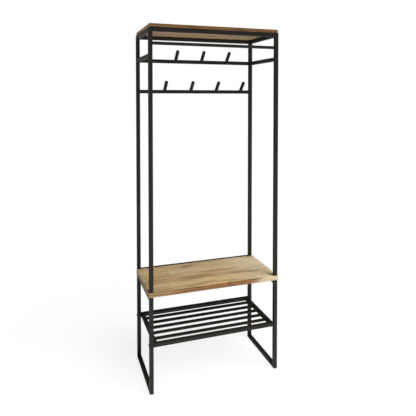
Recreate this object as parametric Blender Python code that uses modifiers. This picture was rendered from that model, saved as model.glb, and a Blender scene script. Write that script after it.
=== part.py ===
"""Hall tree with hooks: a black square-tube steel frame with a wooden bench, a wooden top
board, a hanging bar, seven slanting coat pegs and a shoe rack of round bars.

Metres, +Z up. The origin is on the floor under the middle of the object, and -Y is the front.
"""

import math

import bmesh
import bpy
from mathutils import Matrix

# Overall sizes, over everything.
OVERALL_WIDTH = 0.710
OVERALL_DEPTH = 0.358
OVERALL_HEIGHT = 1.830

# Steel stock.
TUBE = 0.020
TUBE_WALL = 0.0015
TUBE_CORNER = 0.002
PEG_DIAMETER = 0.019
HANGING_BAR_DIAMETER = 0.016
RACK_BAR_DIAMETER = 0.016
ROUND_TUBE_WALL = 0.0012

# Boards.
BENCH_THICKNESS = 0.024
BENCH_SIDE_OVERHANG = 0.005
BENCH_FRONT_OVERHANG = 0.002
TOP_THICKNESS = 0.018
TOP_SIDE_INSET = 0.004
BOARD_EDGE_RADIUS = 0.002

# Heights above the floor of the upper faces of the bench and the rack.
BENCH_LEVEL = 0.509
RACK_LEVEL = 0.254

# Drops from the overall height to the centre lines of the hook rails and the hanging bar.
LOWER_HOOK_DROP = 0.327
UPPER_HOOK_DROP = 0.156
HANGING_BAR_DROP = 0.095

# Pegs.
PEG_PITCH = 0.154
PEG_LENGTH = 0.081
PEG_LEAN = math.radians(45)
LOWER_PEG_COUNT = 4
LOWER_PEG_OFFSET = 0.0385
UPPER_PEG_COUNT = 3
UPPER_PEG_OFFSET = 0.0265

# Shoe rack.
RACK_BAR_COUNT = 5

# Fasteners.
RACK_BOLT_DIAMETER = 0.006
RACK_BOLT_HEAD_DIAMETER = 0.0125
RACK_BOLT_HEAD_HEIGHT = 0.003
RACK_BOLT_GRIP = 0.012
PLUG_LENGTH = 0.018
SCREW_DIAMETER = 0.004
SCREW_HEAD_DIAMETER = 0.008
SCREW_HEAD_HEIGHT = 0.0022
SCREW_BITE = 0.013
SCREW_INSET = 0.070
SPIGOT_REACH = 0.055
LOCK_SCREW_DROP = 0.035
LOCK_SCREW_DIAMETER = 0.008

# Named clearances.
TOUCH_GAP = 0.0003
RACK_SIDE_GAP = 0.0010
HOLE_CLEARANCE = 0.0003
SLIDE_CLEARANCE = 0.0003

# Mesh fineness.
ROUND_SIDES = 20
SMALL_ROUND_SIDES = 16
DOME_STEPS = 5
CORNER_STEPS = 2
SHARP_EDGE = math.radians(40)
HEAD_CROWN = 0.6  # share of a screw head's height that is domed

# Derived planes of the frame.
FRAME_WIDTH = OVERALL_WIDTH - 2 * BENCH_SIDE_OVERHANG
FRAME_FRONT = -OVERALL_DEPTH / 2 + BENCH_FRONT_OVERHANG
FRAME_BACK = OVERALL_DEPTH / 2
POST_X = FRAME_WIDTH / 2 - TUBE / 2
FRONT_POST_Y = FRAME_FRONT + TUBE / 2
REAR_POST_Y = FRAME_BACK - TUBE / 2
REAR_POST_FACE_Y = FRAME_BACK - TUBE
CROSS_LENGTH = FRAME_WIDTH - 2 * TUBE - 2 * TOUCH_GAP
SIDE_RAIL_FRONT = FRAME_FRONT + TUBE + TOUCH_GAP
SIDE_RAIL_BACK = REAR_POST_FACE_Y - TOUCH_GAP
POST_TOP = OVERALL_HEIGHT - TOP_THICKNESS - TOUCH_GAP
BENCH_UNDERSIDE = BENCH_LEVEL - BENCH_THICKNESS
BENCH_BACK = REAR_POST_FACE_Y - TOUCH_GAP
LEG_TOP = BENCH_UNDERSIDE - TOUCH_GAP
TOP_RAIL_Z = POST_TOP - TUBE / 2
LOWER_HOOK_Z = OVERALL_HEIGHT - LOWER_HOOK_DROP
UPPER_HOOK_Z = OVERALL_HEIGHT - UPPER_HOOK_DROP
HANGING_BAR_Z = OVERALL_HEIGHT - HANGING_BAR_DROP
BENCH_SIDE_RAIL_Z = LEG_TOP - TUBE / 2
RACK_Z = RACK_LEVEL - TUBE / 2
RACK_HALF_WIDTH = FRAME_WIDTH / 2 - TUBE - RACK_SIDE_GAP
RACK_SIDE_X = RACK_HALF_WIDTH - TUBE / 2
TUBE_BORE = TUBE - 2 * TUBE_WALL

SIDES = (("left", -1), ("right", 1))
ENDS = (("front", -1), ("rear", 1))


# Scene and materials


def clear_scene():
    for obj in list(bpy.data.objects):
        bpy.data.objects.remove(obj, do_unlink=True)


def new_collection(name, hidden):
    collection = bpy.data.collections.new(name)
    bpy.context.scene.collection.children.link(collection)
    collection.hide_render = hidden
    return collection


def new_material(name, colour, roughness, metallic):
    material = bpy.data.materials.new(name)
    material.use_nodes = True
    shader = material.node_tree.nodes["Principled BSDF"]
    shader.inputs["Base Color"].default_value = (*colour, 1.0)
    shader.inputs["Roughness"].default_value = roughness
    shader.inputs["Metallic"].default_value = metallic
    material.diffuse_color = (*colour, 1.0)
    return material


def link(name, mesh, material, collection):
    mesh.materials.append(material)
    obj = bpy.data.objects.new(name, mesh)
    collection.objects.link(obj)
    return obj


def mesh_from(name, build):
    """A mesh data block filled by build(bm)."""
    mesh = bpy.data.meshes.new(name)
    bm = bmesh.new()
    build(bm)
    bm.to_mesh(mesh)
    bm.free()
    return mesh


def smooth(obj):
    obj.data.shade_smooth()
    obj.data.set_sharp_from_angle(angle=SHARP_EDGE)


# Cutters


def cutter(name, mesh, location, rotation):
    obj = bpy.data.objects.new(name, mesh)
    CUTTERS.objects.link(obj)
    obj.location = location
    obj.rotation_euler = rotation
    obj.hide_render = True
    obj.display_type = "WIRE"
    return obj


def round_cutter(name, diameter, length, centre, axis):
    def build(bm):
        bmesh.ops.create_cone(
            bm,
            cap_ends=True,
            segments=SMALL_ROUND_SIDES,
            radius1=diameter / 2,
            radius2=diameter / 2,
            depth=length,
        )

    return cutter(name, mesh_from(name, build), centre, TURN[axis])


def box_cutter(name, size, centre, rotation=(0.0, 0.0, 0.0)):
    def build(bm):
        bmesh.ops.create_cube(bm, size=1.0, matrix=Matrix.Diagonal((*size, 1.0)))

    return cutter(name, mesh_from(name, build), centre, rotation)


def cut(obj, tool):
    modifier = obj.modifiers.new("Cut " + tool.name, "BOOLEAN")
    modifier.operation = "DIFFERENCE"
    modifier.solver = "EXACT"
    modifier.object = tool


# Stock shapes

# Rotations that turn a shape made along Z to lie along the named axis.
TURN = {
    "X": (0.0, math.radians(90), 0.0),
    "Y": (math.radians(-90), 0.0, 0.0),
    "Z": (0.0, 0.0, 0.0),
}


def square_tube(name, axis, centre, length):
    """A hollow square tube with rounded corners and open ends, centred on centre."""

    def build(bm):
        bmesh.ops.create_cube(bm, size=1.0, matrix=Matrix.Diagonal((TUBE, TUBE, length, 1.0)))
        ends = [face for face in bm.faces if abs(face.normal.z) > 0.5]
        bmesh.ops.delete(bm, geom=ends, context="FACES_ONLY")
        upright = [edge for edge in bm.edges if abs(edge.verts[0].co.z - edge.verts[1].co.z) > length / 2]
        bmesh.ops.bevel(
            bm,
            geom=upright,
            offset=TUBE_CORNER,
            segments=CORNER_STEPS,
            profile=0.5,
            affect="EDGES",
        )

    obj = link(name, mesh_from(name, build), STEEL, PARTS)
    obj.location = centre
    obj.rotation_euler = TURN[axis]
    smooth(obj)
    wall = obj.modifiers.new("Wall", "SOLIDIFY")
    wall.thickness = TUBE_WALL
    wall.offset = -1.0
    wall.use_even_offset = True
    return obj


def tube_between(name, axis, start, end, across):
    """A square tube along axis from start to end, with its two other centre values in across."""
    middle = (start + end) / 2
    centre = {
        "X": (middle, across[0], across[1]),
        "Y": (across[0], middle, across[1]),
        "Z": (across[0], across[1], middle),
    }[axis]
    return square_tube(name, axis, centre, end - start)


def round_tube(name, axis, centre, diameter, length):
    """A hollow round tube with open ends, centred on centre."""

    def build(bm):
        bmesh.ops.create_cone(
            bm,
            cap_ends=False,
            segments=ROUND_SIDES,
            radius1=diameter / 2,
            radius2=diameter / 2,
            depth=length,
        )

    obj = link(name, mesh_from(name, build), STEEL, PARTS)
    obj.location = centre
    obj.rotation_euler = TURN[axis]
    smooth(obj)
    wall = obj.modifiers.new("Wall", "SOLIDIFY")
    wall.thickness = ROUND_TUBE_WALL
    wall.offset = -1.0
    wall.use_even_offset = True
    return obj


def round_bar(name, axis, centre, diameter, length, material):
    """A solid round bar with flat ends, centred on centre."""

    def build(bm):
        bmesh.ops.create_cone(
            bm,
            cap_ends=True,
            segments=ROUND_SIDES,
            radius1=diameter / 2,
            radius2=diameter / 2,
            depth=length,
        )

    obj = link(name, mesh_from(name, build), material, PARTS)
    obj.location = centre
    obj.rotation_euler = TURN[axis]
    smooth(obj)
    return obj


def turned(name, profile, steps, material):
    """A solid turned about Z from (radius, height) points that run from its top to its bottom."""

    def build(bm):
        corners = [bm.verts.new((radius, 0.0, height)) for radius, height in profile]
        for first, second in zip(corners, corners[1:]):
            bm.edges.new((first, second))

    obj = link(name, mesh_from(name, build), material, PARTS)
    screw = obj.modifiers.new("Turn", "SCREW")
    screw.axis = "Z"
    screw.steps = steps
    screw.render_steps = steps
    screw.use_merge_vertices = True
    screw.merge_threshold = 0.00001
    return obj


def board(name, size, centre):
    def build(bm):
        bmesh.ops.create_cube(bm, size=1.0, matrix=Matrix.Diagonal((*size, 1.0)))

    obj = link(name, mesh_from(name, build), WOOD, PARTS)
    obj.location = centre
    edge = obj.modifiers.new("Eased edges", "BEVEL")
    edge.width = BOARD_EDGE_RADIUS
    edge.segments = CORNER_STEPS
    return obj


# Frame


def mitre(obj, name, corner_y, corner_z, lean, keep):
    """Cuts obj along the 45 degree plane of a floor corner, and removes the side away from keep."""
    size = 6 * TUBE
    normal_y = -math.sin(lean) * keep
    normal_z = math.cos(lean) * keep
    reach = (size - TOUCH_GAP) / 2
    centre = (obj.location.x, corner_y - normal_y * reach, corner_z - normal_z * reach)
    cut(obj, box_cutter(name, (size, size, size), centre, (lean, 0.0, 0.0)))


def make_side_frames():
    for side, sign in SIDES:
        x = sign * POST_X
        leg = tube_between("front_leg_" + side, "Z", 0.0, LEG_TOP, (x, FRONT_POST_Y))
        rear = tube_between("rear_post_" + side, "Z", 0.0, POST_TOP, (x, REAR_POST_Y))
        runner = tube_between("floor_runner_" + side, "Y", FRAME_FRONT, FRAME_BACK, (x, TUBE / 2))
        quarter = math.radians(45)
        mitre(leg, "leg_mitre_" + side, FRONT_POST_Y, TUBE / 2, quarter, 1)
        mitre(runner, "runner_front_mitre_" + side, FRONT_POST_Y, TUBE / 2, quarter, -1)
        mitre(rear, "post_mitre_" + side, REAR_POST_Y, TUBE / 2, -quarter, 1)
        mitre(runner, "runner_rear_mitre_" + side, REAR_POST_Y, TUBE / 2, -quarter, -1)
        post_foot = BENCH_LEVEL + TOUCH_GAP
        tube_between("front_post_" + side, "Z", post_foot, POST_TOP, (x, FRONT_POST_Y))
        for name, level in (
            ("bench_side_rail_", BENCH_SIDE_RAIL_Z),
            ("side_rail_", UPPER_HOOK_Z),
            ("top_rail_", TOP_RAIL_Z),
        ):
            tube_between(name + side, "Y", SIDE_RAIL_FRONT, SIDE_RAIL_BACK, (x, level))


def make_cross_rails():
    half = CROSS_LENGTH / 2
    for name, y, level in (
        ("top_rail_front", FRONT_POST_Y, TOP_RAIL_Z),
        ("top_rail_rear", REAR_POST_Y, TOP_RAIL_Z),
        ("upper_hook_rail", REAR_POST_Y, UPPER_HOOK_Z),
        ("lower_hook_rail", REAR_POST_Y, LOWER_HOOK_Z),
        ("bench_rear_rail", REAR_POST_Y, BENCH_LEVEL - TUBE / 2),
    ):
        tube_between(name, "X", -half, half, (y, level))
    place = (0.0, FRONT_POST_Y, HANGING_BAR_Z)
    round_tube("hanging_bar", "X", place, HANGING_BAR_DIAMETER, CROSS_LENGTH)


# Pegs


def dome(radius, top):
    """The (radius, height) points of a hemisphere, from its top down to its widest ring."""
    points = []
    for step in range(DOME_STEPS + 1):
        angle = math.radians(90) * step / DOME_STEPS
        points.append((radius * math.sin(angle), top - radius + radius * math.cos(angle)))
    return points


def make_pegs():
    radius = PEG_DIAMETER / 2
    root = -2 * PEG_DIAMETER
    profile = dome(radius, PEG_LENGTH) + [(radius, root), (0.0, root)]
    for row, level, count, offset in (
        ("lower_peg_", LOWER_HOOK_Z, LOWER_PEG_COUNT, LOWER_PEG_OFFSET),
        ("upper_peg_", UPPER_HOOK_Z, UPPER_PEG_COUNT, UPPER_PEG_OFFSET),
    ):
        behind = REAR_POST_FACE_Y - TOUCH_GAP + 2 * TUBE
        size = (FRAME_WIDTH, 4 * TUBE, 10 * TUBE)
        rail_face = box_cutter(row + "rail_face", size, (0.0, behind, level))
        # The root is thicker than the rail when cut at this slant, so its toe is ground off level.
        below = level - TUBE / 2 - 2 * TUBE
        size = (FRAME_WIDTH, 8 * TUBE, 4 * TUBE)
        toe = box_cutter(row + "toe", size, (0.0, REAR_POST_FACE_Y, below))
        for index in range(count):
            peg = turned(row + str(index + 1), profile, ROUND_SIDES, STEEL)
            x = offset + (index - (count - 1) / 2) * PEG_PITCH
            peg.location = (x, REAR_POST_FACE_Y, level)
            peg.rotation_euler = (PEG_LEAN, 0.0, 0.0)
            smooth(peg)
            cut(peg, rail_face)
            cut(peg, toe)


# Shoe rack


def make_rack():
    inner_front = FRAME_FRONT + TUBE + TOUCH_GAP
    inner_back = REAR_POST_FACE_Y - TOUCH_GAP
    for end, y in (("front", FRONT_POST_Y), ("rear", REAR_POST_Y)):
        tube_between("rack_rail_" + end, "X", -RACK_HALF_WIDTH, RACK_HALF_WIDTH, (y, RACK_Z))
    for side, sign in SIDES:
        tube_between("rack_rail_" + side, "Y", inner_front, inner_back, (sign * RACK_SIDE_X, RACK_Z))
    length = 2 * (RACK_HALF_WIDTH - TUBE - TOUCH_GAP)
    pitch = (REAR_POST_Y - FRONT_POST_Y) / (RACK_BAR_COUNT + 1)
    for index in range(RACK_BAR_COUNT):
        place = (0.0, FRONT_POST_Y + (index + 1) * pitch, RACK_Z)
        round_tube("rack_bar_" + str(index + 1), "X", place, RACK_BAR_DIAMETER, length)


# Boards


def make_boards():
    bench_depth = BENCH_BACK - FRAME_FRONT + BENCH_FRONT_OVERHANG
    bench_y = (BENCH_BACK + FRAME_FRONT - BENCH_FRONT_OVERHANG) / 2
    size = (OVERALL_WIDTH, bench_depth, BENCH_THICKNESS)
    board("bench_board", size, (0.0, bench_y, BENCH_LEVEL - BENCH_THICKNESS / 2))
    size = (FRAME_WIDTH - 2 * TOP_SIDE_INSET, FRAME_BACK - FRAME_FRONT, TOP_THICKNESS)
    centre = (0.0, (FRAME_BACK + FRAME_FRONT) / 2, OVERALL_HEIGHT - TOP_THICKNESS / 2)
    board("top_board", size, centre)


# Fasteners


def headed_profile(shank, head, head_height, length, crown):
    """Head up: a low domed head with its seat at height 0, and a plain shank below it."""
    points = []
    for step in range(DOME_STEPS + 1):
        angle = math.radians(90) * step / DOME_STEPS
        height = head_height - crown + crown * math.cos(angle)
        points.append((head / 2 * math.sin(angle), height))
    return points + [(head / 2, 0.0), (shank / 2, 0.0), (shank / 2, -length), (0.0, -length)]


def make_rack_bolts():
    """Button-head bolts from outside each leg, into threaded plugs in the ends of the rack."""
    bore = TUBE_BORE - 2 * SLIDE_CLEARANCE
    length = TUBE + RACK_SIDE_GAP + RACK_BOLT_GRIP
    profile = headed_profile(
        RACK_BOLT_DIAMETER,
        RACK_BOLT_HEAD_DIAMETER,
        RACK_BOLT_HEAD_HEIGHT,
        length,
        RACK_BOLT_HEAD_HEIGHT * HEAD_CROWN,
    )
    for side, sign in SIDES:
        for end, y in (("front", FRONT_POST_Y), ("rear", REAR_POST_Y)):
            where = end + "_" + side
            bolt = turned("rack_bolt_" + where, profile, SMALL_ROUND_SIDES, ZINC)
            bolt.location = (sign * (FRAME_WIDTH / 2 + TOUCH_GAP), y, RACK_Z)
            bolt.rotation_euler = (0.0, sign * math.radians(90), 0.0)
            smooth(bolt)
            hole = round_cutter(
                "rack_bolt_hole_" + where,
                RACK_BOLT_DIAMETER + 2 * HOLE_CLEARANCE,
                4 * length,
                (sign * FRAME_WIDTH / 2, y, RACK_Z),
                "X",
            )
            post = "front_leg_" if end == "front" else "rear_post_"
            cut(bpy.data.objects[post + side], hole)
            centre = sign * (RACK_HALF_WIDTH - PLUG_LENGTH / 2)
            plug = solid_block("rack_plug_" + where, (PLUG_LENGTH, bore, bore), (centre, y, RACK_Z))
            cut(plug, hole)


def solid_block(name, size, centre):
    def build(bm):
        bmesh.ops.create_cube(bm, size=1.0, matrix=Matrix.Diagonal((*size, 1.0)))

    obj = link(name, mesh_from(name, build), ZINC, PARTS)
    obj.location = centre
    edge = obj.modifiers.new("Eased edges", "BEVEL")
    edge.width = TUBE_CORNER / 2
    edge.segments = 1
    return obj


def make_spigots():
    """Square spigots that pass from each front post through the bench board into the leg."""
    width = TUBE_BORE - 2 * SLIDE_CLEARANCE
    opening = width + 2 * SLIDE_CLEARANCE
    length = 2 * SPIGOT_REACH + BENCH_THICKNESS
    middle = BENCH_LEVEL - BENCH_THICKNESS / 2
    lock_level = BENCH_UNDERSIDE - LOCK_SCREW_DROP
    lock_depth = TUBE_WALL + SLIDE_CLEARANCE + width / 2
    for side, sign in SIDES:
        x = sign * POST_X
        spigot = solid_block("post_spigot_" + side, (width, width, length), (x, FRONT_POST_Y, middle))
        size = (opening, opening, 2 * BENCH_THICKNESS)
        cut(
            bpy.data.objects["bench_board"],
            box_cutter("spigot_opening_" + side, size, (x, FRONT_POST_Y, middle)),
        )
        round_bar(
            "lock_screw_" + side,
            "Y",
            (x, FRAME_FRONT + lock_depth / 2, lock_level),
            LOCK_SCREW_DIAMETER,
            lock_depth,
            ZINC,
        )
        hole = round_cutter(
            "lock_screw_hole_" + side,
            LOCK_SCREW_DIAMETER + 2 * HOLE_CLEARANCE,
            2 * lock_depth + 2 * TOUCH_GAP,
            (x, FRAME_FRONT, lock_level),
            "Y",
        )
        cut(bpy.data.objects["front_leg_" + side], hole)
        cut(spigot, hole)


def make_board_screws():
    """Screws driven up through the side rails into the undersides of the two boards."""
    length = TUBE + TOUCH_GAP + SCREW_BITE
    profile = headed_profile(
        SCREW_DIAMETER,
        SCREW_HEAD_DIAMETER,
        SCREW_HEAD_HEIGHT,
        length,
        SCREW_HEAD_HEIGHT * HEAD_CROWN,
    )
    for kind, panel, rail, level in (
        ("bench_screw_", "bench_board", "bench_side_rail_", BENCH_SIDE_RAIL_Z),
        ("top_screw_", "top_board", "top_rail_", TOP_RAIL_Z),
    ):
        for side, sign in SIDES:
            for end, toward in ENDS:
                where = end + "_" + side
                middle = (SIDE_RAIL_FRONT + SIDE_RAIL_BACK) / 2
                y = middle + toward * ((SIDE_RAIL_BACK - SIDE_RAIL_FRONT) / 2 - SCREW_INSET)
                seat = level - TUBE / 2 - TOUCH_GAP
                screw = turned(kind + where, profile, SMALL_ROUND_SIDES, ZINC)
                screw.location = (sign * POST_X, y, seat)
                screw.rotation_euler = (math.radians(180), 0.0, 0.0)
                smooth(screw)
                top = seat + length + HOLE_CLEARANCE
                bottom = seat - SCREW_HEAD_HEIGHT
                hole = round_cutter(
                    kind + "hole_" + where,
                    SCREW_DIAMETER + 2 * HOLE_CLEARANCE,
                    top - bottom,
                    (sign * POST_X, y, (top + bottom) / 2),
                    "Z",
                )
                cut(bpy.data.objects[rail + side], hole)
                cut(bpy.data.objects[panel], hole)


clear_scene()
PARTS = new_collection("Hall tree with hooks", False)
CUTTERS = new_collection("Cutters", True)
STEEL = new_material("Satin black powder-coated steel", (0.012, 0.012, 0.012), 0.45, 0.0)
WOOD = new_material("Oiled edge-glued hardwood", (0.42, 0.27, 0.13), 0.55, 0.0)
ZINC = new_material("Blackened zinc fasteners", (0.03, 0.03, 0.03), 0.40, 0.8)

make_side_frames()
make_cross_rails()
make_pegs()
make_rack()
make_boards()
make_rack_bolts()
make_spigots()
make_board_screws()
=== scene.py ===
"""Hall tree with hooks: painted square-tube steel, two oiled hardwood boards, pegs and a shoe rack.

Builds the finished surfaces around the packed model. Metres, +Z up, -Y to the front.
"""

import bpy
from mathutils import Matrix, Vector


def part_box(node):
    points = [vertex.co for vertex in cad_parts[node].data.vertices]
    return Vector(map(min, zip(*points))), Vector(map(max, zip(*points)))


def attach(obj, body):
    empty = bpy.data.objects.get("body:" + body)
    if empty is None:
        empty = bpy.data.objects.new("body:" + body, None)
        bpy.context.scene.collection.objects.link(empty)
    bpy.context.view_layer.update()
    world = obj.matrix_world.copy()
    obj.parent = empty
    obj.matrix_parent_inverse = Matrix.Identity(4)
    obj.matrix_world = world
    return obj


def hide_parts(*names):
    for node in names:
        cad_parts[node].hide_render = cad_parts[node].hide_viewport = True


bl_info = {
    "name": "Hall Tree with Hooks",
    "version": (1, 0, 0),
    "blender": (4, 5, 0),
    "location": "3D View > Sidebar > Hall Tree",
    "description": "Steel frame, boards, pegs and shoe rack of a hall tree, one piece at a time",
    "category": "Add Mesh",
}

import math
import random

import bmesh
import bpy
from mathutils import Matrix, Vector

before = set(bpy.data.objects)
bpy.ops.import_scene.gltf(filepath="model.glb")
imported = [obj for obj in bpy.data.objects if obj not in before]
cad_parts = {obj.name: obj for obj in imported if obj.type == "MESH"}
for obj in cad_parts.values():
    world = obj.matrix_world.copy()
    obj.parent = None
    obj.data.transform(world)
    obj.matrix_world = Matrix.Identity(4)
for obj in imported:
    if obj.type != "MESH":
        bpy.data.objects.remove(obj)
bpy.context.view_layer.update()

BODY = "root"
WHITE = (1.0, 1.0, 1.0, 1.0)
SIDES = (("left", -1), ("right", 1))
X_AXIS, Y_AXIS = 0, 1
TOP_RAILS = ("top_rail_front", "top_rail_rear", "top_rail_left", "top_rail_right")
HOOK_RAILS = ("upper_hook_rail", "lower_hook_rail", "side_rail_left", "side_rail_right")
BENCH_RAILS = ("bench_side_rail_left", "bench_side_rail_right", "bench_rear_rail")

# Sizes that the packed model fixes.
POST_LOW, POST_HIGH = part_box("rear_post_right")
RAIL_LOW, RAIL_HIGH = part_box("lower_hook_rail")
TUBE = POST_HIGH.x - POST_LOW.x
JOINT_GAP = POST_LOW.x - RAIL_HIGH.x  # what the packed model leaves between welded tubes
FRAME_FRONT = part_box("front_leg_right")[0].y
FRAME_SIDE = POST_HIGH.x
REAR_POST_FACE = POST_LOW.y

# Sizes and angles that the boxes of the packed model do not give.
PEG_LEAN = math.radians(45)
PEG_END = 0.93  # rounding, as a share of the radius
BOLT_SHANK = 0.003  # radius
BOLT_SOCKET = 0.004  # across flats
BOLT_DOME = 0.72  # a share of the head's height
LOCK_SOCKET = 0.003  # across flats
LOCK_RECESS = 0.0015  # how deep the lock screw sits in its hole
SCREW_SHANK = 0.002  # radius
SCREW_HEAD = 0.0022  # height
SCREW_DOME = 0.7  # a share of the head's height
CROSS_RECESS = (0.0046, 0.0010, 0.0026)  # length, width and depth of each slot
WELD_RIPPLES = 10  # on each straight bead
WELD_STRAY = 0.0006  # how far a straight bead may sit off the middle of its joint
RING_WELD = 0.85  # thickness, as a share of a straight bead's
QUARTER_TURN = math.radians(90)


def linear(colour):
    """An sRGB hex colour as the linear red, green and blue that Blender works in."""
    parts = [int(colour[start : start + 2], 16) / 255 for start in (1, 3, 5)]
    return tuple(part / 12.92 if part <= 0.04045 else ((part + 0.055) / 1.055) ** 2.4 for part in parts)


# Settings


def length(name, description, default, low, high):
    return bpy.props.FloatProperty(
        name=name,
        description=description,
        default=default,
        min=low,
        max=high,
        unit="LENGTH",
        precision=4,
    )


def colour(name, description, default):
    return bpy.props.FloatVectorProperty(
        name=name,
        description=description,
        default=linear(default),
        subtype="COLOR",
        size=3,
        min=0.0,
        max=1.0,
    )


class SteelSettings(bpy.types.PropertyGroup):
    """Sizes and colours of the painted steel."""

    wall: length("Tube wall", "Wall thickness of the square tube", 0.0015, 0.0008, 0.003)
    corner: length("Tube corner", "Outer radius of the square tube's corners", 0.0020, 0.0005, 0.004)
    round_wall: length("Bar wall", "Wall thickness of the round tube", 0.0012, 0.0006, 0.003)
    bead: length("Weld bead", "Radius of the weld beads", 0.0015, 0.0005, 0.003)
    bead_length: length("Weld length", "Length of each straight weld bead", 0.0165, 0.006, 0.02)
    paint: colour("Powder coat", "Colour of the powder coat", "#16130e")
    bolt: colour("Bolt black", "Colour of the black bolts", "#34332f")
    zinc: colour("Zinc", "Colour of the zinc-plated screws", "#b9bdc0")


class BoardSettings(bpy.types.PropertyGroup):
    """Sizes and colours of the two boards."""

    edge: length("Edge radius", "Rounding of the boards' edges", 0.0022, 0.0005, 0.004)
    bench_tan: colour("Bench tan", "Main tone of the bench board", "#a38a64")
    bench_brown: colour("Bench brown", "Heartwood of the bench board", "#734e26")
    bench_olive: colour("Bench olive", "Mineral-stained wood of the bench board", "#93835f")
    bench_cream: colour("Bench cream", "Sapwood of the bench board", "#bdab8c")
    top_tan: colour("Top tan", "Main tone of the top board", "#b5926b")
    top_brown: colour("Top brown", "Heartwood of the top board", "#573a16")
    top_olive: colour("Top olive", "Mineral-stained wood of the top board", "#a38d6d")
    top_cream: colour("Top cream", "Sapwood of the top board", "#bda27c")


class StageSettings(bpy.types.PropertyGroup):
    """Light and camera."""

    key: bpy.props.FloatProperty(
        name="Main light", description="Strength of the light from the front right", default=4.9, min=0
    )
    walls: bpy.props.FloatProperty(
        name="Walls", description="Brightness of the studio walls in reflections", default=0.32, min=0.0
    )
    floor: colour("Floor", "Colour of the studio floor", "#fafaf9")


# Modelling helpers


def deselect():
    if bpy.context.mode != "OBJECT":
        bpy.ops.object.mode_set(mode="OBJECT")
    bpy.ops.object.select_all(action="DESELECT")


def activate(obj):
    """Makes a piece the only one selected."""
    deselect()
    obj.select_set(True)
    bpy.context.view_layer.objects.active = obj


def edit(obj):
    """Opens a piece in edit mode."""
    activate(obj)
    bpy.ops.object.mode_set(mode="EDIT")


def settle(obj):
    """Moves a piece's place, turn and scale into its mesh."""
    activate(obj)
    bpy.ops.object.transform_apply(location=True, rotation=True, scale=True)


def start_from(primitive, **settings):
    """Adds a primitive with its place in its mesh."""
    deselect()
    primitive(**settings)
    obj = bpy.context.object
    settle(obj)
    return obj


def middle_of(node):
    """The middle of a CAD node's box."""
    low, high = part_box(node)
    return (low + high) / 2


def nodes_named(*starts):
    """The CAD nodes whose names begin so, in order."""
    return [name for name in sorted(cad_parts) if name.startswith(starts)]


def pick(kind, test):
    """Selects those faces, edges or vertices of the mesh being edited that pass a test."""
    bpy.ops.mesh.select_all(action="DESELECT")
    bpy.ops.mesh.select_mode(type=kind)
    mesh = bpy.context.object.data
    shape = bmesh.from_edit_mesh(mesh)
    items = {"VERT": shape.verts, "EDGE": shape.edges, "FACE": shape.faces}[kind]
    for item in items:
        if test(item):
            item.select_set(True)
    shape.select_flush_mode()
    bmesh.update_edit_mesh(mesh)


def run_of(edge, axis):
    """How far an edge runs along an axis."""
    return abs(edge.verts[0].co[axis] - edge.verts[1].co[axis])


def modify(obj, kind, **settings):
    """Adds a modifier with its settings and applies it."""
    activate(obj)
    bpy.ops.object.modifier_add(type=kind)
    modifier = obj.modifiers[-1]
    for key, value in settings.items():
        setattr(modifier, key, value)
    bpy.ops.object.modifier_apply(modifier=modifier.name)


def round_rim(obj, level, offset, segments):
    """Rounds the rim round the top of an upright piece, which is at that level."""
    edit(obj)
    pick("EDGE", lambda edge: min(end.co.z for end in edge.verts) > level - 0.00001)
    bpy.ops.mesh.bevel(offset=offset, segments=segments, profile=0.5, affect="EDGES")


def cut_with(obj, tool):
    """Cuts a tool's shape out of a piece and clears the tool away."""
    modify(obj, "BOOLEAN", object=tool, operation="DIFFERENCE", solver="EXACT")
    remove(tool)


def bisect_away(obj, point, normal):
    """Cuts off and closes the side of a piece that the normal points to."""
    edit(obj)
    bpy.ops.mesh.select_all(action="SELECT")
    bpy.ops.mesh.bisect(plane_co=point, plane_no=normal, use_fill=True, clear_outer=True)
    deselect()


def copy_of(obj, matrix):
    """A copy of a piece with its own mesh, moved by the matrix inside its mesh."""
    made = obj.copy()
    made.data = obj.data.copy()
    made.data.transform(matrix)
    bpy.context.collection.objects.link(made)
    return made


def join(objects):
    activate(objects[0])
    for obj in objects:
        obj.select_set(True)
    bpy.ops.object.join()
    return objects[0]


def remove(obj):
    bpy.data.objects.remove(obj, do_unlink=True)


def finish_piece(obj, name, material, slot, *nodes, angle=35.0):
    """Names, shades, paints and places a finished piece on the frame."""
    obj.name = name
    obj.data.name = name
    activate(obj)
    bpy.ops.object.shade_smooth_by_angle(angle=math.radians(angle))
    obj.data.materials.clear()
    obj.data.materials.append(material)
    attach(obj, BODY)
    if nodes:
        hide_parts(*nodes)


# Materials


def add_node(tree, kind, inputs=None, **settings):
    """Adds a shader node with its settings. An input that is another node's socket is linked."""
    made = tree.nodes.new(kind)
    for key, value in settings.items():
        setattr(made, key, value)
    for key, value in (inputs or {}).items():
        if isinstance(value, bpy.types.NodeSocket):
            tree.links.new(value, made.inputs[key])
        else:
            made.inputs[key].default_value = value
    return made


def new_material(name):
    """An empty material, its node tree, its shader and the object coordinates."""
    material = bpy.data.materials.new(name)
    material.use_nodes = True
    tree = material.node_tree
    tree.nodes.clear()
    shader = add_node(tree, "ShaderNodeBsdfPrincipled")
    add_node(tree, "ShaderNodeOutputMaterial", {"Surface": shader.outputs["BSDF"]})
    place = add_node(tree, "ShaderNodeTexCoord").outputs["Object"]
    return material, tree, shader, place


def ramp(tree, value, stops):
    """A colour ramp over (position, linear colour) stops."""
    made = add_node(tree, "ShaderNodeValToRGB", {"Fac": value})
    elements = made.color_ramp.elements
    while len(elements) < len(stops):
        elements.new(0.5)
    for element, (position, tone) in zip(elements, stops):
        element.position = position
        element.color = (*tone, 1.0)
    return made.outputs["Color"]


def shade_of(tone, factor):
    return tuple(min(1.0, part * factor) for part in tone)


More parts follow.
